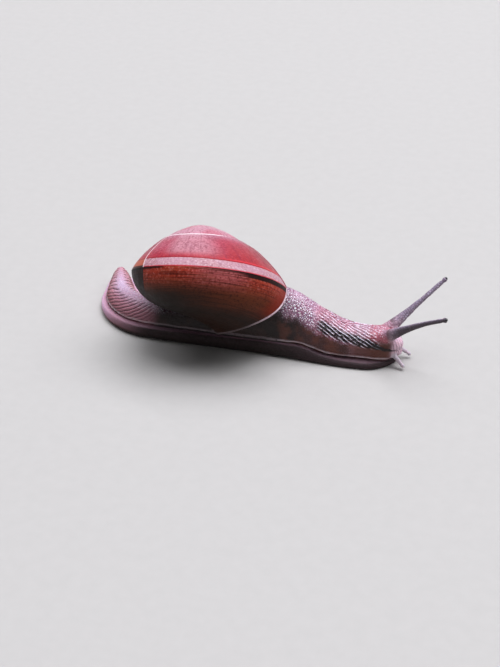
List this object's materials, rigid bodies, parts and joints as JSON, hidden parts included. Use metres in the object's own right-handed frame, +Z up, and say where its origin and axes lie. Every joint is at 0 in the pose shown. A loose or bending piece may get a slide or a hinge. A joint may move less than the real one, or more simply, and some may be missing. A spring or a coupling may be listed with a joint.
{
  "type": "land snail",
  "caption": "Life-size still model of a crawling land snail: banded shell coiling to the left, feelers stretched out, tail swung to its left, flat sole to stand on.",
  "frame": {"origin": "middle of the object's box, at floor level", "axes": "+X the way the snail crawls and its longest extent, +Y its left, +Z up, the sole flat on Z = 0"},
  "size_m": [0.1038, 0.0446, 0.0346],
  "materials": {
    "shell": "glossy live shell, red-brown with a pale lilac band along the keel",
    "rim": "smooth white shell edge",
    "skin": "wet, finely wrinkled lilac-brown skin",
    "sole": "wet, smooth brown-pink sole and fringe",
    "eye": "glossy black"
  },
  "bodies": {
    "root": {"shell": "shell", "shell_lip": "rim", "mantle": "skin", "trunk": "skin", "neck": "skin", "head": "skin", "mouth": "skin", "tail": "skin", "foot_front": "sole", "foot_middle": "sole", "foot_rear": "sole", "upper_feeler_left": "skin", "upper_feeler_right": "skin", "lower_feeler_left": "skin", "lower_feeler_right": "skin", "eye_left": "eye", "eye_right": "eye"}
  },
  "joints": []
}
